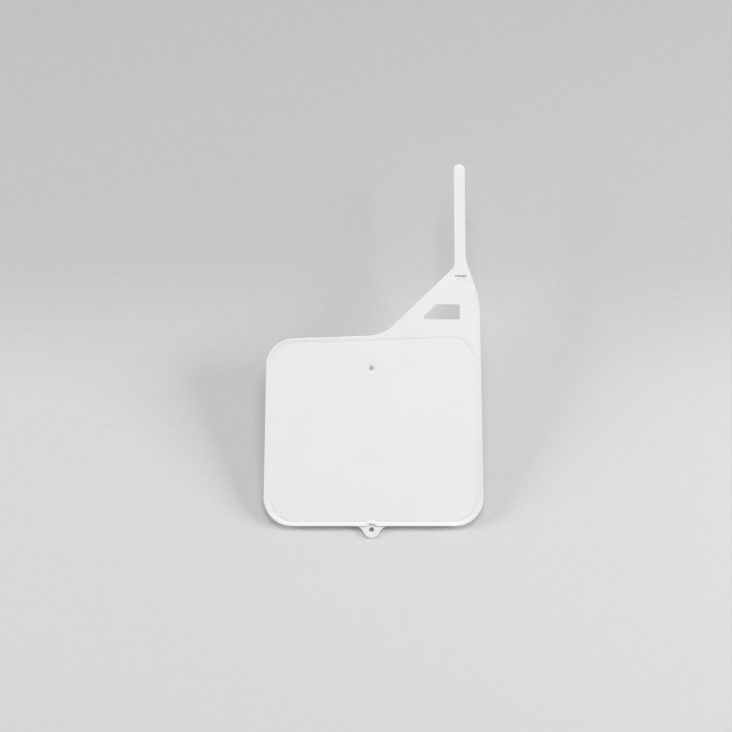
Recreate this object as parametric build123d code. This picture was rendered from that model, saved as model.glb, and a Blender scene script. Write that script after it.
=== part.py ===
from build123d import *
import math
import os

# A front number board for an off-road motorbike, moulded in one piece.
# It stands upright: X to the right as seen from the front, Z up, and the face looks along -Y.
# The origin is where the lower bolt's axis meets the plane that the board is bolted against.
# Depths are measured forwards from that plane. Sizes are in millimetres and degrees.

# Moulded sheet and its levels
WALL = 2.3                  # wall of the board and of its arm
PANEL_DEPTH = 5.6           # face of the arm panel
LIP_RISE = 0.6              # edge lip in front of the arm panel
FIELD_DROP = 1.2            # number field behind the arm panel
FLANGE_DRAFT = 3.0          # lean of the return flange, wider at the back
EDGE_R = 0.5                # round on the front edge

# Board outline
BOARD_WIDTH = 286.5         # along the bottom edge, between the sharp corners
BOARD_HEIGHT = 246.5        # bottom edge to top edge, on the bolt line
BOARD_OFFSET = 2.5          # middle of the bottom edge, right of the bolt line
BOTTOM_RISE = 4.8           # bottom edge above the lower bolt
SIDE_TAPER = 1.17           # lean of each side, narrower at the top
TOP_TILT = 2.0              # rise of the top edge towards the arm
BOTTOM_R = 37.0
TOP_R = 35.0

# Arm that carries the strap
ARM_SPAN = 130.95           # from the bottom right corner back to the foot of the slanted edge
ARM_ANGLE = 44.0            # slanted edge from the level
ARM_FOOT_R = 54.0
ARM_RISE = 63.7             # top edge to the crease, where the thinner strap root begins
CREASE_RUN = 1.6            # length of the small slope at the crease
FLARE_RISE = 35.2           # crease to the place where the flare meets the strap
FLARE_ANGLE = 20.1          # outer edge of the flare, from the upright
FLARE_R = 65.0
SHOULDER_R = 110.0          # outer edge, from the side into the flare
FLANGE_RUNOUT = 53.0        # return flange thins out over this height below the crease

# Strap
STRAP_T = 1.9
STRAP_STEP = 0.8            # strap's face behind the arm panel
STRAP_WIDTH = 13.9
STRAP_LENGTH = 123.8        # flare to tip
STRAP_INSET = 31.15         # from the bottom right corner back to the strap's middle
STRAP_LEAN = 0.5            # to the left, going up
STRAP_ROOT_R = 13.0
STRAP_EDGE_R = 0.5
TIP_FLAT = 1.0              # straight part across the round tip
TIP_BEVEL = 6.0             # length of the thinned tip
TIP_T = 0.9

# Slot that the strap is threaded through, with a ramp behind it
SLOT_RISE = 9.0             # slot's lower edge above the crease
SLOT_HEIGHT = 6.1
SLOT_SHIFT = 0.8            # slot's middle, right of the strap's
SLOT_SIDE_GAP = 0.45        # clearance at each side of the strap
RAMP_ANGLE = 40.0
RAMP_T = 1.6
RAMP_OVERLAP = 1.1          # ramp above the slot's top edge

# Window in the arm
WINDOW_DROP = 23.0          # its top below the crease
WINDOW_HEIGHT = 19.2
WINDOW_RAIL = 26.0          # arm between the window and the outer side
SLANT_RAIL = 19.0           # arm between the window and the slanted edge
WINDOW_R = 2.4
WINDOW_EDGE_R = 0.6

# Edge lip and number field
LIP_WIDTH = 1.1             # at its crest
LIP_FOOT = 2.3              # at the level of the arm panel
LIP_RUNOUT = 23.0           # lip narrows to nothing over this height below the crease
LIP_RUNOUT_R = 20.0         # and along this round at the arm's foot
FIELD_SIDE = 9.0            # foot of the field's slope, from each edge
FIELD_TOP = 6.0
FIELD_BOTTOM = 5.1
FIELD_R = 30.0
COVE_R = 2.5                # round at the foot of the slope
GROOVE_INSET = 0.6          # line along the foot of the slope, clear of the cove
GROOVE_WIDTH = 1.1
GROOVE_DEPTH = 0.8          # at the bottom edge
GROOVE_RUNOUT = 45.0        # height over which the groove runs out up the sides

# Bolt holes, their cups and the lug
BOLT_SPACING = 210.0
BOLT_HOLE_D = 6.5
SEAT_D = 12.0
LOWER_SEAT_T = 3.0          # floor under the lower bolt's head
UPPER_SEAT_DROP = 0.5       # upper seat behind the number field
CUP_LEAN = 35.0             # lean of the wall round each seat
CUP_EDGE_R = 0.6
COLLAR_CREST = 1.4          # crest of the lip where it goes round the lower cup
LUG_R = 10.9
LUG_T = 3.5
LUG_NECK_R = 14.0
LUG_EDGE_R = 0.7

# How far cutting shapes reach past the solid, how far they start off its faces,
# and how close an edge must lie to a face to count as on it
BEYOND = 20.0
SPARE = 1.0
NEAR = 0.01

# Derived depths
LIP_DEPTH = PANEL_DEPTH + LIP_RISE
FIELD_DEPTH = PANEL_DEPTH - FIELD_DROP
PANEL_BACK = PANEL_DEPTH - WALL
FIELD_BACK = FIELD_DEPTH - WALL
STRAP_DEPTH = PANEL_DEPTH - STRAP_STEP
STRAP_BACK = STRAP_DEPTH - STRAP_T
UPPER_SEAT_T = FIELD_DEPTH - UPPER_SEAT_DROP
DRAFT_RUN = LIP_DEPTH * math.tan(math.radians(FLANGE_DRAFT))
LIP_LEAN = (LIP_FOOT - LIP_WIDTH) / LIP_RISE
FIELD_LEAN = (FIELD_BOTTOM - LIP_FOOT) / FIELD_DROP
CREASE_LEAN = CREASE_RUN / STRAP_STEP

# Derived heights
TOP_HEIGHT = BOTTOM_RISE + BOARD_HEIGHT
CREASE_HEIGHT = TOP_HEIGHT + ARM_RISE
FLARE_HEIGHT = CREASE_HEIGHT + FLARE_RISE
TIP_HEIGHT = FLARE_HEIGHT + STRAP_LENGTH
SLOT_BOTTOM = CREASE_HEIGHT + SLOT_RISE
SLOT_TOP = SLOT_BOTTOM + SLOT_HEIGHT

# Derived places across the board
RIGHT_CORNER = BOARD_OFFSET + BOARD_WIDTH / 2
LEFT_CORNER = BOARD_OFFSET - BOARD_WIDTH / 2
ARM_FOOT = RIGHT_CORNER - ARM_SPAN
STRAP_X = RIGHT_CORNER - STRAP_INSET
SLOT_X = STRAP_X + SLOT_SHIFT
SLOT_HALF = STRAP_WIDTH / 2 + SLOT_SIDE_GAP


def at(depth):
    """The plane parallel to the face, this far in front of the mounting plane."""
    return Plane.XZ.offset(depth)


def edge_line(point, angle, inset=0.0):
    """A straight edge through a point, moved by inset towards its left, the inner side."""
    turn = math.radians(angle)
    along = (math.cos(turn), math.sin(turn))
    return (point[0] - inset * along[1], point[1] + inset * along[0]), along


def level(height):
    return edge_line((0, height), 0)


def meet(first, second):
    """The point where two straight edges cross."""
    (x1, z1), (a1, b1) = first
    (x2, z2), (a2, b2) = second
    reach = ((x2 - x1) * b2 - (z2 - z1) * a2) / (a1 * b2 - b1 * a2)
    return (x1 + reach * a1, z1 + reach * b1)


def rounded_face(edges, radii):
    """The face inside a ring of straight edges, with one corner radius after each edge."""
    corners = [meet(edge, edges[(i + 1) % len(edges)]) for i, edge in enumerate(edges)]
    return make_face(FilletPolyline(*corners, radius=radii, close=True))


def bottom_edge(inset=0.0):
    return edge_line((BOARD_OFFSET, BOTTOM_RISE), 0, inset)


def right_edge(inset=0.0):
    return edge_line((RIGHT_CORNER, BOTTOM_RISE), 90 + SIDE_TAPER, inset)


def flare_edge(inset=0.0):
    return edge_line((STRAP_X + STRAP_WIDTH / 2, FLARE_HEIGHT), 90 + FLARE_ANGLE, inset)


def slant_edge(inset=0.0):
    foot = meet(top_edge(), edge_line((ARM_FOOT, 0), 90))
    return edge_line(foot, 180 + ARM_ANGLE, inset)


def top_edge(inset=0.0):
    return edge_line((0, TOP_HEIGHT), 180 + TOP_TILT, inset)


def left_edge(inset=0.0):
    return edge_line((LEFT_CORNER, BOTTOM_RISE), 270 - SIDE_TAPER, inset)


def whole_outline(inset=0.0):
    """Outline of board, arm and strap together, moved inwards by inset."""
    half = STRAP_WIDTH / 2
    tip_r = (STRAP_WIDTH - TIP_FLAT) / 2
    edges = [
        bottom_edge(inset),
        right_edge(inset),
        flare_edge(inset),
        edge_line((STRAP_X + half, FLARE_HEIGHT), 90 + STRAP_LEAN, inset),
        edge_line((STRAP_X, TIP_HEIGHT), 180 + STRAP_LEAN, inset),
        edge_line((STRAP_X - half, FLARE_HEIGHT), 270 + STRAP_LEAN, inset),
        slant_edge(inset),
        top_edge(inset),
        left_edge(inset),
    ]
    radii = [
        BOTTOM_R - inset,
        SHOULDER_R - inset,
        FLARE_R + inset,
        tip_r - inset,
        tip_r - inset,
        STRAP_ROOT_R + inset,
        ARM_FOOT_R + inset,
        TOP_R - inset,
        BOTTOM_R - inset,
    ]
    return rounded_face(edges, radii)


def panel_outline(inset):
    """Area inside the edge lip. It runs on past the slanted edge and past the crease."""
    lip_start = meet(right_edge(inset), level(CREASE_HEIGHT - LIP_RUNOUT))
    lip_end = meet(flare_edge(), level(CREASE_HEIGHT))
    runout = math.degrees(math.atan2(lip_end[1] - lip_start[1], lip_end[0] - lip_start[0]))
    edges = [
        bottom_edge(inset),
        right_edge(inset),
        edge_line(lip_start, runout),
        edge_line((0, CREASE_HEIGHT + BEYOND), 180),
        slant_edge(-BEYOND / 2),
        top_edge(inset),
        left_edge(inset),
    ]
    radii = [BOTTOM_R - inset, SHOULDER_R / 2, 0, 0, LIP_RUNOUT_R, TOP_R - inset, BOTTOM_R - inset]
    return rounded_face(edges, radii)


def field_head():
    """Top of the field's slope, along the foot of the lip and across the arm's foot."""
    edges = [bottom_edge(LIP_FOOT), right_edge(LIP_FOOT), top_edge(LIP_FOOT), left_edge(LIP_FOOT)]
    lower = BOTTOM_R - LIP_FOOT
    upper = TOP_R - LIP_FOOT
    return rounded_face(edges, [lower, upper, upper, lower])


def field_foot(inset=0.0):
    """Foot of the field's slope, moved inwards by inset."""
    edges = [
        bottom_edge(FIELD_BOTTOM + inset),
        right_edge(FIELD_SIDE + inset),
        top_edge(FIELD_TOP + inset),
        left_edge(FIELD_SIDE + inset),
    ]
    return rounded_face(edges, [FIELD_R - inset] * len(edges))


def prism(points, x_from, x_to):
    """A solid with this outline of (height, depth) points, run across from x_from to x_to."""
    across = Plane(origin=(x_from, 0, 0), x_dir=(0, 0, 1), z_dir=(1, 0, 0))
    return extrude(across * make_face(Polyline(*points, close=True)), x_to - x_from)


def wide_prism(points):
    """The same, run across the whole board."""
    return prism(points, LEFT_CORNER - BEYOND, RIGHT_CORNER + BEYOND)


def cup_radius(depth, floor):
    """Radius at this depth of the wall round a bolt seat, which starts at its floor."""
    return SEAT_D / 2 + (depth - floor) * math.tan(math.radians(CUP_LEAN))


def collar_crest_radius():
    return cup_radius(LIP_DEPTH, LOWER_SEAT_T) + COLLAR_CREST


def round_cone(height, depth_from, depth_to, radius_from, radius_to):
    """A cone about a bolt at this height."""
    cone = Cone(
        radius_from,
        radius_to,
        depth_to - depth_from,
        align=(Align.CENTER, Align.CENTER, Align.MIN),
    )
    return at(depth_from) * Pos(0, height) * cone


def collar(depth_from, depth_to, foot, foot_depth, lean):
    """The slope round the lower cup, leaning as the straight slopes do."""
    start = foot - (depth_from - foot_depth) * lean
    end = foot - (depth_to - foot_depth) * lean
    return round_cone(0, depth_from, depth_to, start, end)


def collar_lip_foot():
    return collar_crest_radius() + LIP_FOOT - LIP_WIDTH


def collar_field_foot():
    return collar_lip_foot() + FIELD_BOTTOM - LIP_FOOT


def lip_space():
    """Space inside the edge lip, in front of the arm panel."""
    front = LIP_DEPTH + SPARE
    space = loft(
        [
            at(PANEL_DEPTH) * panel_outline(LIP_FOOT),
            at(front) * panel_outline(LIP_FOOT - (front - PANEL_DEPTH) * LIP_LEAN),
        ],
        ruled=True,
    )
    return space - collar(PANEL_DEPTH - SPARE, front, collar_lip_foot(), PANEL_DEPTH, LIP_LEAN)


def field_space():
    """Space in front of the number field, with a cove round its foot."""
    space = loft([at(FIELD_DEPTH) * field_foot(), at(PANEL_DEPTH) * field_head()], ruled=True)
    space = fillet(space.faces().sort_by(Axis.Y)[-1].edges(), COVE_R)
    back = FIELD_DEPTH - SPARE
    return space - collar(back, PANEL_DEPTH, collar_field_foot(), FIELD_DEPTH, FIELD_LEAN)


def field_groove():
    """A fine line along the foot of the field's slope, deepest at the bottom."""
    far = GROOVE_INSET + GROOVE_WIDTH
    outer = field_foot(GROOVE_INSET) - Circle(collar_field_foot() + GROOVE_INSET)
    inner = field_foot(far) - Circle(collar_field_foot() + far)
    ring = extrude(at(FIELD_DEPTH - GROOVE_DEPTH) * (outer - inner), GROOVE_DEPTH + SPARE)
    bottom = BOTTOM_RISE + FIELD_BOTTOM
    floor = wide_prism(
        [
            (bottom, FIELD_DEPTH - GROOVE_DEPTH),
            (bottom + GROOVE_RUNOUT, FIELD_DEPTH),
            (bottom + GROOVE_RUNOUT, FIELD_DEPTH + SPARE),
            (bottom, FIELD_DEPTH + SPARE),
        ]
    )
    return ring & floor


def whole_block():
    """The whole outline as one solid block, with the flange's draft."""
    return loft([at(0) * whole_outline(-DRAFT_RUN), at(LIP_DEPTH) * whole_outline()], ruled=True)


def board_shell():
    """Board and arm up to the crease: edge lip, arm panel, sunk field and return flange."""
    front = LIP_DEPTH + SPARE
    block = whole_block()
    block = fillet(block.faces().sort_by(Axis.Y)[0].edges(), EDGE_R)
    block &= wide_prism(
        [
            (-BEYOND, -SPARE),
            (CREASE_HEIGHT, -SPARE),
            (CREASE_HEIGHT, STRAP_DEPTH),
            (CREASE_HEIGHT - (front - STRAP_DEPTH) * CREASE_LEAN, front),
            (-BEYOND, front),
        ]
    )
    block -= lip_space() + field_space()
    hollow = loft(
        [at(0) * whole_outline(WALL - DRAFT_RUN), at(PANEL_BACK) * whole_outline(WALL)],
        ruled=True,
    )
    field_back = loft([at(FIELD_BACK) * field_foot(), at(PANEL_BACK) * field_head()], ruled=True)
    flange_end = wide_prism(
        [
            (CREASE_HEIGHT - FLANGE_RUNOUT, 0),
            (CREASE_HEIGHT, STRAP_BACK),
            (TIP_HEIGHT, STRAP_BACK),
            (TIP_HEIGHT, -SPARE),
            (CREASE_HEIGHT - FLANGE_RUNOUT, -SPARE),
        ]
    )
    return block - (hollow - field_back) - flange_end


def strap():
    """Strap and its root: a thinner sheet behind the arm panel, with a thinned round tip."""
    root = CREASE_HEIGHT - WALL
    end = TIP_HEIGHT + BEYOND
    sheet = whole_block() & wide_prism(
        [(root, STRAP_BACK), (end, STRAP_BACK), (end, STRAP_DEPTH), (root, STRAP_DEPTH)]
    )
    front = sheet.faces().sort_by(Axis.Y)[0]
    sheet = fillet([edge for edge in front.edges() if edge.center().Z > root + SPARE], STRAP_EDGE_R)
    bevel = wide_prism(
        [
            (TIP_HEIGHT - TIP_BEVEL, STRAP_DEPTH),
            (TIP_HEIGHT, STRAP_BACK + TIP_T),
            (TIP_HEIGHT + SPARE, STRAP_BACK + TIP_T),
            (TIP_HEIGHT + SPARE, STRAP_DEPTH + SPARE),
            (TIP_HEIGHT - TIP_BEVEL, STRAP_DEPTH + SPARE),
        ]
    )
    return sheet - bevel


def ramp():
    """The ramp behind the slot, still filled between its two cheeks."""
    fall = math.tan(math.radians(RAMP_ANGLE))
    thick = RAMP_T / math.cos(math.radians(RAMP_ANGLE))
    end = SLOT_TOP + RAMP_OVERLAP
    points = [
        (SLOT_BOTTOM - (thick - STRAP_T) / fall, STRAP_BACK),
        (end, STRAP_DEPTH - (end - SLOT_BOTTOM) * fall - thick),
        (end, STRAP_DEPTH - STRAP_EDGE_R),
        (SLOT_BOTTOM, STRAP_DEPTH - STRAP_EDGE_R),
    ]
    return prism(points, SLOT_X - SLOT_HALF - RAMP_T, SLOT_X + SLOT_HALF + RAMP_T)


def strap_passage():
    """The way through the slot, down the ramp from behind the strap root."""
    fall = math.tan(math.radians(RAMP_ANGLE))
    end = SLOT_TOP + RAMP_OVERLAP + SPARE
    points = [
        (SLOT_BOTTOM - SPARE / fall, STRAP_DEPTH + SPARE),
        (end, STRAP_DEPTH - (end - SLOT_BOTTOM) * fall),
        (end, STRAP_BACK),
        (SLOT_TOP, STRAP_BACK),
        (SLOT_TOP, STRAP_DEPTH + SPARE),
    ]
    return prism(points, SLOT_X - SLOT_HALF, SLOT_X + SLOT_HALF)


def window():
    """The window in the arm, with one side along the slanted edge."""
    head = CREASE_HEIGHT - WINDOW_DROP
    edges = [level(head - WINDOW_HEIGHT), right_edge(WINDOW_RAIL), level(head), slant_edge(SLANT_RAIL)]
    face = rounded_face(edges, [WINDOW_R] * len(edges))
    return extrude(at(-SPARE) * face, LIP_DEPTH + 2 * SPARE)


def lug():
    """The lug round the lower bolt, necked into the bottom edge, with the lower cup's floor."""
    drop = BOTTOM_RISE - LUG_NECK_R
    reach = math.sqrt((LUG_R + LUG_NECK_R) ** 2 - drop ** 2)
    share = LUG_R / (LUG_R + LUG_NECK_R)
    touch = (share * reach, share * drop)
    root = BOTTOM_RISE + WALL / 2
    chord = math.sqrt(LUG_R ** 2 - root ** 2)
    outline = [
        RadiusArc((reach, BOTTOM_RISE), touch, -LUG_NECK_R),
        ThreePointArc(touch, (0, -LUG_R), (-touch[0], touch[1])),
        RadiusArc((-touch[0], touch[1]), (-reach, BOTTOM_RISE), -LUG_NECK_R),
        Polyline((-reach, BOTTOM_RISE), (-reach, root), (-chord, root)),
        ThreePointArc((-chord, root), (0, LUG_R), (chord, root)),
        Polyline((chord, root), (reach, root), (reach, BOTTOM_RISE)),
    ]
    plate = extrude(make_face(outline), LUG_T)
    front = plate.faces().sort_by(Axis.Z)[-1]
    rim = [edge for edge in front.edges() if edge.center().Y < BOTTOM_RISE - SPARE]
    return at(0) * fillet(rim, LUG_EDGE_R)


def rim_of(solid, depth, low, high):
    """The edges of a solid on its face at this depth, between two (x, height) corners."""
    found = []
    for edge in solid.edges():
        box = edge.bounding_box()
        on_face = abs(box.min.Y + depth) < NEAR and abs(box.max.Y + depth) < NEAR
        in_x = low[0] < box.min.X and box.max.X < high[0]
        if on_face and in_x and low[1] < box.min.Z and box.max.Z < high[1]:
            found.append(edge)
    return found


def number_board():
    board = board_shell() + strap() - window()
    head = CREASE_HEIGHT - WINDOW_DROP
    low = (ARM_FOOT, head - WINDOW_HEIGHT - SPARE)
    high = (RIGHT_CORNER - WINDOW_RAIL, head + SPARE)
    board = fillet(rim_of(board, PANEL_DEPTH, low, high), WINDOW_EDGE_R)

    board = board + ramp() - strap_passage()

    square = LIP_DEPTH - EDGE_R
    cup_foot = cup_radius(0, LOWER_SEAT_T) + WALL
    cup_outside = round_cone(0, 0, square, cup_foot, cup_radius(square, LOWER_SEAT_T) + WALL)
    board += cup_outside & whole_block()
    boss = SEAT_D / 2 + WALL
    board += round_cone(BOLT_SPACING, 0, FIELD_DEPTH, boss, boss + DRAFT_RUN)
    board += lug()
    board -= field_groove()

    front = LIP_DEPTH + SPARE
    for height, floor in ((0, LOWER_SEAT_T), (BOLT_SPACING, UPPER_SEAT_T)):
        board -= round_cone(height, floor, front, SEAT_D / 2, cup_radius(front, floor))
        board -= at(0) * Pos(0, height) * Cylinder(BOLT_HOLE_D / 2, 2 * LIP_DEPTH)
    mouth = collar_crest_radius() - COLLAR_CREST / 2
    return fillet(rim_of(board, LIP_DEPTH, (-mouth, 0), (mouth, mouth)), CUP_EDGE_R)


os.makedirs("parts", exist_ok=True)
board = number_board().solid()
board.label = "number_board"
size = board.bounding_box().size
print("number_board", round(board.volume / 1000, 2), "cm3", [round(v, 2) for v in size])
export_step(board, "parts/number_board.step")
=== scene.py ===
# %% [markdown]
# # A moulded number board on a paper sweep
#
# The board is one thin plastic moulding: a sunk number field inside an edge lip, an arm with a
# window, and a flat strap with its own slot. All of its shape comes from the CAD frame, because it
# is a rigid part with real sizes. Blender's share is the look: how the edges catch light, what the
# white plastic does to it, and the paper and lamps around it. Lengths are in metres here, so a size
# in millimetres is written as a number times MM.

import math

import bmesh
import bpy
import numpy as np
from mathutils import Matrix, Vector


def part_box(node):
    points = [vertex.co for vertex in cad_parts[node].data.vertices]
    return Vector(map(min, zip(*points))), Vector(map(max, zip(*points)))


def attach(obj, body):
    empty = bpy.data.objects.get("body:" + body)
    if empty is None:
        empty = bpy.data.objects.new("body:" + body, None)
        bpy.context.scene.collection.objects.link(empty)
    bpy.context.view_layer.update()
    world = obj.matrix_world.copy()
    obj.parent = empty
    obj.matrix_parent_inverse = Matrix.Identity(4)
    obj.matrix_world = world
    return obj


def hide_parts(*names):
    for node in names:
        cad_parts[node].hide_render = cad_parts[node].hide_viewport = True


MM = 0.001

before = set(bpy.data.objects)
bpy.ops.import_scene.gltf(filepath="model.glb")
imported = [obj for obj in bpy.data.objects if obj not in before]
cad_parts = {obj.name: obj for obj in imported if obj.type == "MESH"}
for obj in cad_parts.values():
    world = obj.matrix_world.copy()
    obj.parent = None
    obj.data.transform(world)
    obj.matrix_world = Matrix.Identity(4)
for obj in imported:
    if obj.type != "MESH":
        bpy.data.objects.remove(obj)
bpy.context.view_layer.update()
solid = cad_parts["number_board"]
low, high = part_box("number_board")
print("board from", [round(v / MM, 1) for v in low], "to", [round(v / MM, 1) for v in high], "mm")

# %% [markdown]
# ## The photographer's view
#
# The photograph looks straight at the face, so the camera stands on the -Y side and looks along +Y.
# One pixel of the picture is a fixed number of millimetres on the board, and the lower bolt hole,
# which is the origin, sits at a known pixel. The camera could be moved about until it fits, but
# those two facts already give its height, its place across and its lens.

# %% Camera
FRAME_PX = 732
BOLT_PX = (371.6, 530.0)
MM_PER_PX = 1.2955
CAMERA_DISTANCE = 2.6
SENSOR_MM = 36
# a new camera looks down, and this turn about X makes it look along +Y
LEVEL = math.radians(90)

view_x = (FRAME_PX / 2 - BOLT_PX[0]) * MM_PER_PX * MM
view_z = (BOLT_PX[1] - FRAME_PX / 2) * MM_PER_PX * MM
view_width = FRAME_PX * MM_PER_PX * MM

camera_data = bpy.data.cameras.new("camera")
camera_data.sensor_width = SENSOR_MM
camera_data.lens = SENSOR_MM * CAMERA_DISTANCE / view_width
camera = bpy.data.objects.new("camera", camera_data)
camera.location = (view_x, low.y - CAMERA_DISTANCE, view_z)
camera.rotation_euler = (LEVEL, 0, 0)
bpy.context.scene.collection.objects.link(camera)
bpy.context.scene.camera = camera
bpy.context.scene.view_settings.view_transform = "Standard"
print("lens", round(camera_data.lens, 1), "mm at", CAMERA_DISTANCE, "m")

# %% [markdown]
# ## Helpers for colours and nodes
#
# Colours are written as the sRGB hex values that a paint program shows, and shaders work in linear
# light, so one function turns the first into the second. Materials are built from nodes, and one
# function adds a node, sets it up and wires it, so a material reads from top to bottom. A third
# function starts a material that has only its output.

# %% Colours and nodes
# a Mix node has sockets for every kind of data, and these are the ones for colours
COLOUR_A = 6
COLOUR_B = 7
COLOUR_OUT = 2


def linear(code):
    """Linear RGBA of an sRGB hex colour: below 0.04045 a straight line, above it a power of 2.4."""
    values = np.array([int(code[i:i + 2], 16) for i in (1, 3, 5)]) / 255
    light = np.where(values <= 0.04045, values / 12.92, ((values + 0.055) / 1.055) ** 2.4)
    return (*light.tolist(), 1.0)


def node(tree, kind, values=None, links=None, **settings):
    """Add a node: settings are its properties, values its sockets, links what feeds its sockets."""
    made = tree.nodes.new(kind)
    for name, value in settings.items():
        setattr(made, name, value)
    for socket, value in (values or {}).items():
        made.inputs[socket].default_value = value
    for socket, source in (links or {}).items():
        tree.links.new(source, made.inputs[socket])
    return made


def new_material(name):
    """An empty node material, with its output node."""
    made = bpy.data.materials.new(name)
    made.use_nodes = True
    made.node_tree.nodes.clear()
    return made, made.node_tree, made.node_tree.nodes.new("ShaderNodeOutputMaterial")


print("the grey #808080 is", round(linear("#808080")[0], 3), "in linear light")

# %% [markdown]
# ## The skin of the moulding
#
# The CAD mesh is loose triangles, each shaded flat, which leaves fine facets along every rounded
# edge. A subdivision surface would round the corners that a mould keeps crisp. So a copy of the
# mesh has its doubled points merged and its flat areas joined into single faces. It is shaded
# smooth except across real corners, with each point's normal weighted by the area of the faces
# round it, so that the flats stay flat and the rounds run smoothly into them. The facets of a round
# meet at less than 23 degrees and the lip's slope meets the flats at nearly 27, so a corner starts
# at 25. No point moves, so the skin is exactly the solid's own surface.

# %% Merged copy with smooth rounds and crisp corners
MERGE = 0.001 * MM
FLAT = math.radians(0.05)
CORNER = math.radians(25)

skin = solid.data.copy()
skin.name = "number_board_skin"
work = bmesh.new()
work.from_mesh(skin)
bmesh.ops.remove_doubles(work, verts=work.verts, dist=MERGE)
bmesh.ops.dissolve_limit(work, angle_limit=FLAT, verts=work.verts, edges=work.edges)
work.to_mesh(skin)
work.free()
skin.shade_smooth()
skin.set_sharp_from_angle(angle=CORNER)

board = bpy.data.objects.new("number_board_skin", skin)
bpy.context.scene.collection.objects.link(board)
even = board.modifiers.new("weigh_normals_by_area", "WEIGHTED_NORMAL")
even.keep_sharp = True
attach(board, "root")
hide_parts("number_board")
print("skin has", len(skin.vertices), "points and", len(skin.polygons), "faces")

# %% [markdown]
# ## White polypropylene, satin as moulded
#
# Number boards are injection moulded in white polypropylene. It is a soft, slightly waxy plastic:
# it scatters light a little under its surface, and it takes a satin gloss from a finely
# spark-eroded mould. Three things keep it from looking like paint. The melt leaves faint clouds
# some centimetres across. The thin sheet never cools quite flat, so its gloss wanders. And the
# mould's grain breaks up each highlight. A picture texture could hold all three, but noise on
# Object coordinates stays the right size in millimetres everywhere, also on the edges.

# %% Plastic
CLOUD_SIZE = 70 * MM
CLOUD_DARK = "#E9ECEB"
CLOUD_PALE = "#EFF2F1"
WAVE_SIZE = 90 * MM
WAVE_HEIGHT = 0.05 * MM
# the real grain is about 0.1 mm wide, too fine for this picture, so it is drawn at 0.9 mm
GRAIN_SIZE = 0.9 * MM
GRAIN_HEIGHT = 0.006 * MM
# most of the grain's noise lies between these two values, which get the two roughnesses
GRAIN_LOW = 0.3
GRAIN_HIGH = 0.7
ROUGH_LOW = 0.38
ROUGH_HIGH = 0.48
PLASTIC_IOR = 1.49
SCATTER_SHARE = 0.1
SCATTER_DEPTH = 1.5 * MM

plastic, tree, output = new_material("white_polypropylene_satin")
place = node(tree, "ShaderNodeTexCoord").outputs["Object"]
clouds = node(tree, "ShaderNodeTexNoise", {"Scale": 1 / CLOUD_SIZE, "Detail": 3.0},
              {"Vector": place})
tint = node(tree, "ShaderNodeMix", {COLOUR_A: linear(CLOUD_DARK), COLOUR_B: linear(CLOUD_PALE)},
            {0: clouds.outputs["Fac"]}, data_type="RGBA")
grain = node(tree, "ShaderNodeTexNoise", {"Scale": 1 / GRAIN_SIZE, "Detail": 2.0},
             {"Vector": place})
gloss = node(tree, "ShaderNodeMapRange",
             {"From Min": GRAIN_LOW, "From Max": GRAIN_HIGH,
              "To Min": ROUGH_LOW, "To Max": ROUGH_HIGH},
             {"Value": grain.outputs["Fac"]})
waves = node(tree, "ShaderNodeTexNoise", {"Scale": 1 / WAVE_SIZE, "Detail": 1.0}, {"Vector": place})
warp = node(tree, "ShaderNodeBump", {"Strength": 1.0, "Distance": WAVE_HEIGHT},
            {"Height": waves.outputs["Fac"]})
surface = node(tree, "ShaderNodeBump", {"Strength": 1.0, "Distance": GRAIN_HEIGHT},
               {"Height": grain.outputs["Fac"], "Normal": warp.outputs["Normal"]})
shader = node(tree, "ShaderNodeBsdfPrincipled",
              {"IOR": PLASTIC_IOR, "Subsurface Weight": SCATTER_SHARE,
               "Subsurface Radius": (1.0, 1.0, 1.0), "Subsurface Scale": SCATTER_DEPTH},
              {"Base Color": tint.outputs[COLOUR_OUT], "Roughness": gloss.outputs["Result"],
               "Normal": surface.outputs["Normal"]})
tree.links.new(shader.outputs["BSDF"], output.inputs["Surface"])
# the solid under the skin is hidden, and wears the same plastic in case it is shown
for dressed in (board, solid):
    dressed.data.materials.clear()
    dressed.data.materials.append(plastic)
print("plastic has", len(tree.nodes), "nodes")

# %% [markdown]
# ## A paper sweep
#
# The board leans on a roll of pale paper with its lug touching it. In the photograph the shadow is
# a thin dark line under the bottom edge and grows wider up both sides, so the paper stands close
# behind the lug and leaves the board slowly, going up. Two flat planes would meet in a line, so the
# paper is one profile carried straight along X: floor, arc, slope, arc and wall. Each arc is a
# circle that starts at the slope of the last stretch and ends at the slope of the next. Behind it
# a plain floor goes on, for views from that side.

# %% Arcs, and a profile carried along X
BEND_R = 0.60
BEND_STEPS = 24
SWEEP_WIDTH = 10.0


def direction(angle):
    """The (y, z) direction that climbs at this angle, in degrees, going back from the camera."""
    return np.array([math.cos(math.radians(angle)), math.sin(math.radians(angle))])


def bend(start, angle_from, angle_to):
    """Arc of radius BEND_R from a point: its centre is square to the first slope, and it rises."""
    turn = np.radians(np.linspace(angle_from, angle_to, BEND_STEPS + 1))
    spokes = BEND_R * np.stack([np.sin(turn), -np.cos(turn)], axis=1)
    return start - spokes[0] + spokes


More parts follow.
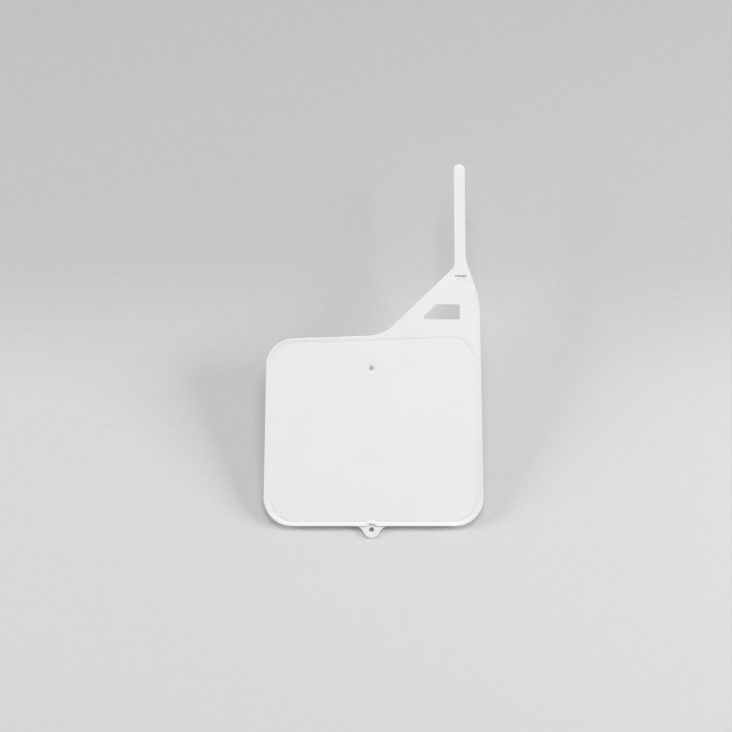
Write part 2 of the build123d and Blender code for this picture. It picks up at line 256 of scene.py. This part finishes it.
def carried_profile(name, profile):
    """A sheet: point (i, j) is the profile's (y, z) point i, at the left or right end of X."""
    across = np.array([-SWEEP_WIDTH / 2, SWEEP_WIDTH / 2])
    rows, columns = len(profile), len(across)
    grid = np.empty((rows, columns, 3))
    grid[:, :, 0] = across
    grid[:, :, 1:] = profile[:, None, :]
    corner = np.arange((rows - 1) * columns).reshape(rows - 1, columns)[:, :-1].ravel()
    quads = np.stack([corner, corner + 1, corner + columns + 1, corner + columns], axis=1)
    mesh = bpy.data.meshes.new(name)
    mesh.from_pydata(grid.reshape(-1, 3).tolist(), [], quads.tolist())
    mesh.shade_smooth()
    sheet = bpy.data.objects.new(name, mesh)
    bpy.context.scene.collection.objects.link(sheet)
    return sheet


print("arcs of", BEND_STEPS, "steps, carried over", SWEEP_WIDTH, "m")

# %% Sweep and floor
SLOPE = 70
SLOPE_DOWN = 0.30
SLOPE_UP = 0.20
UPRIGHT = 90
FLOOR_REACH = 5.0
WALL_HEIGHT = 2.0
PAPER_GAP = 0.3 * MM

touch = np.array([PAPER_GAP, low.z - PAPER_GAP])
upper_bend = bend(touch + SLOPE_UP * direction(SLOPE), SLOPE, UPRIGHT)
lower_bend = bend(np.zeros(2), 0, SLOPE)
lower_bend += touch - SLOPE_DOWN * direction(SLOPE) - lower_bend[-1]
floor_level = lower_bend[0, 1]
floor_front = lower_bend[0] - [FLOOR_REACH, 0]
wall_top = upper_bend[-1] + [0, WALL_HEIGHT]
sweep = carried_profile("paper_sweep", np.vstack([floor_front, lower_bend, upper_bend, wall_top]))
floor_back = np.array([[lower_bend[0, 0], floor_level], [FLOOR_REACH, floor_level]])
floor = carried_profile("studio_floor", floor_back)
print("floor at", round(floor_level / MM), "mm, wall at", round(wall_top[0] / MM), "mm along Y")

# %% [markdown]
# ## Paper with painted shade above
#
# Behind the board's top the paper is darker than below it, because less light reaches it there.
# That shade is painted into the paper's own colour, which is pale below and greyer above.
# The height in Object coordinates mixes the two tones, eased at both ends, and a
# fine fibre noise keeps either tone from looking like a flat fill.

# %% Paper
PALE_PAPER = "#D9D9D9"
# the greyer tone above is painted shade, where less light reaches the paper
PAPER_IN_PAINTED_SHADE = "#CCCCCC"
FADE_FROM = 160 * MM
FADE_TO = 370 * MM
# single fibres are too fine for this picture, so their mottle is drawn at 4 mm
FIBRE_SIZE = 4 * MM
FIBRE_SHARE = 0.14
PAPER_ROUGHNESS = 0.9
PAPER_SPECULAR = 0.2

paper, tree, output = new_material("background_paper_with_painted_shade")
place = node(tree, "ShaderNodeTexCoord").outputs["Object"]
height = node(tree, "ShaderNodeSeparateXYZ", links={0: place}).outputs["Z"]
# the painted shade comes in between these two heights
fade = node(tree, "ShaderNodeMapRange", {"From Min": FADE_FROM, "From Max": FADE_TO},
            {"Value": height}, interpolation_type="SMOOTHSTEP")
tone = node(tree, "ShaderNodeMix", {COLOUR_A: linear(PALE_PAPER), COLOUR_B: linear(PAPER_IN_PAINTED_SHADE)},
            {0: fade.outputs["Result"]}, data_type="RGBA")
fibre = node(tree, "ShaderNodeTexNoise", {"Scale": 1 / FIBRE_SIZE, "Detail": 2.0},
             {"Vector": place})
fibred = node(tree, "ShaderNodeMix", {0: FIBRE_SHARE},
              {COLOUR_A: tone.outputs[COLOUR_OUT], COLOUR_B: fibre.outputs["Fac"]},
              data_type="RGBA", blend_type="SOFT_LIGHT")
front = node(tree, "ShaderNodeBsdfPrincipled",
             {"Roughness": PAPER_ROUGHNESS, "Specular IOR Level": PAPER_SPECULAR},
             {"Base Color": fibred.outputs[COLOUR_OUT]})
for sheet in (sweep, floor):
    sheet.data.materials.append(paper)
print("paper fades from", round(FADE_FROM / MM), "to", round(FADE_TO / MM), "mm up")

# %% [markdown]
# ## Paper that stays out of the way
#
# A real roll would hide the board from behind and keep light from its back. It could be left out of
# those views, but a script that looks right from every side needs no switch. So the paper's shader
# is mixed with a clear one. Seen from behind it is clear, so it never hides the board. Light on its
# way to a surface that the camera sees passes it too, from a lamp or from the room, so that the
# board's back is lit evenly. After a diffuse bounce the paper blocks light like any sheet, or the
# lit back would glow on the paper round the board. And some way out it thins away into the pale
# room, so that no edge of it shows in any view.

# %% Clear from behind, and thinning out
THIN_FROM = 1.0
THIN_TO = 2.2
# whole numbers are told apart half-way between 0 and 1
NO_BOUNCE = 0.5

back = node(tree, "ShaderNodeNewGeometry").outputs["Backfacing"]
rays = node(tree, "ShaderNodeLightPath").outputs
# a diffuse ray has already counted the bounce that it comes from, so that one is taken off
bounces = node(tree, "ShaderNodeMath",
               links={0: rays["Diffuse Depth"], 1: rays["Is Diffuse Ray"]}, operation="SUBTRACT")
first = node(tree, "ShaderNodeMath", {1: NO_BOUNCE}, {0: bounces.outputs[0]}, operation="LESS_THAN")
lighting = node(tree, "ShaderNodeMath",
                links={0: rays["Is Shadow Ray"], 1: rays["Is Diffuse Ray"]}, operation="MAXIMUM")
passed = node(tree, "ShaderNodeMath", links={0: lighting.outputs[0], 1: first.outputs[0]},
              operation="MULTIPLY")
one_way = node(tree, "ShaderNodeMath", links={0: back, 1: passed.outputs[0]}, operation="MAXIMUM")
reach = node(tree, "ShaderNodeVectorMath", links={0: place}, operation="LENGTH")
thin = node(tree, "ShaderNodeMapRange", {"From Min": THIN_FROM, "From Max": THIN_TO},
            {"Value": reach.outputs["Value"]}, interpolation_type="SMOOTHSTEP")
through = node(tree, "ShaderNodeMath", links={0: one_way.outputs[0], 1: thin.outputs["Result"]},
               operation="MAXIMUM")
clear = node(tree, "ShaderNodeBsdfTransparent")
screen = node(tree, "ShaderNodeMixShader",
              links={0: through.outputs[0], 1: front.outputs[0], 2: clear.outputs[0]})
tree.links.new(screen.outputs[0], output.inputs["Surface"])
print("paper has", len(tree.nodes), "nodes")

# %% [markdown]
# ## Soft studio light
#
# The shadows in the photograph are soft and lie on both sides of the board, a little more on its
# left, and one more is thin and dark under its bottom edge. So there is a softbox far out on each
# side, the right one a little stronger, and one in front and above that draws the rim's fine lines.
# One lamp from the camera's side alone would hide the shadows behind the board. These three point
# below the board and have a grid in front, which narrows their light, so the strap and the paper
# beside it aren't lit more than the board. The last lamp stands behind the paper, which lets its
# rays through, and lights the board's back for views from that side. It is nearly behind the
# middle, because from one side it would burn out the board's side wall.

# %% Lamps
BOARD = (0, 0, 0.17)
BELOW = (0, 0, -0.1)
LAMP_SIZE = 1.2
FRONT_GRID = 100
BACK_GRID = 70


def softbox(name, at, watts, aim, grid):
    """A square lamp that faces a point. Its grid lets light out within an angle, in degrees."""
    data = bpy.data.lights.new(name, "AREA")
    data.shape = "SQUARE"
    data.size = LAMP_SIZE
    data.energy = watts
    data.spread = math.radians(grid)
    lamp = bpy.data.objects.new(name, data)
    lamp.location = at
    lamp.rotation_euler = (Vector(aim) - Vector(at)).to_track_quat("-Z", "Y").to_euler()
    bpy.context.scene.collection.objects.link(lamp)
    return lamp


lamps = [
    softbox("right_softbox", at=(2.2, -1.2, 0.5), watts=11.6, aim=BELOW, grid=FRONT_GRID),
    softbox("left_softbox", at=(-2.3, -1.05, 0.5), watts=9, aim=BELOW, grid=FRONT_GRID),
    softbox("upper_softbox", at=(0.15, -2.55, 1.6), watts=7.8, aim=BELOW, grid=FRONT_GRID),
    softbox("back_softbox", at=(0.45, 2.0, 1.6), watts=9.5, aim=BOARD, grid=BACK_GRID),
]
print("lamps", [lamp.name for lamp in lamps])

# %% [markdown]
# ## A pale room
#
# A little light also comes from all round, as from the white walls of a studio, so that no shadow
# goes black. One world colour could do that, but a room that gives so little light would itself
# look dark behind the paper. So the world has two: a weak white that lights, and a pale grey for
# what the camera sees of it, directly, in a gloss or through something clear.

# %% Room
ROOM_WHITE = "#FFFFFF"
ROOM_LIGHT = 0.3
ROOM_SEEN = "#CBCBCB"

room = bpy.data.worlds.new("pale_room")
room.use_nodes = True
tree = room.node_tree
tree.nodes.clear()
ambient = node(tree, "ShaderNodeBackground", {"Color": linear(ROOM_WHITE), "Strength": ROOM_LIGHT})
seen = node(tree, "ShaderNodeBackground", {"Color": linear(ROOM_SEEN), "Strength": 1.0})
rays = node(tree, "ShaderNodeLightPath").outputs
direct = node(tree, "ShaderNodeMath", links={0: rays["Is Camera Ray"], 1: rays["Is Glossy Ray"]},
              operation="MAXIMUM")
looking = node(tree, "ShaderNodeMath",
               links={0: direct.outputs[0], 1: rays["Is Transmission Ray"]}, operation="MAXIMUM")
mixed = node(tree, "ShaderNodeMixShader",
             links={0: looking.outputs[0], 1: ambient.outputs[0], 2: seen.outputs[0]})
node(tree, "ShaderNodeOutputWorld", links={"Surface": mixed.outputs[0]})
bpy.context.scene.world = room
print("room lights with", ROOM_LIGHT, "and is seen as", ROOM_SEEN)
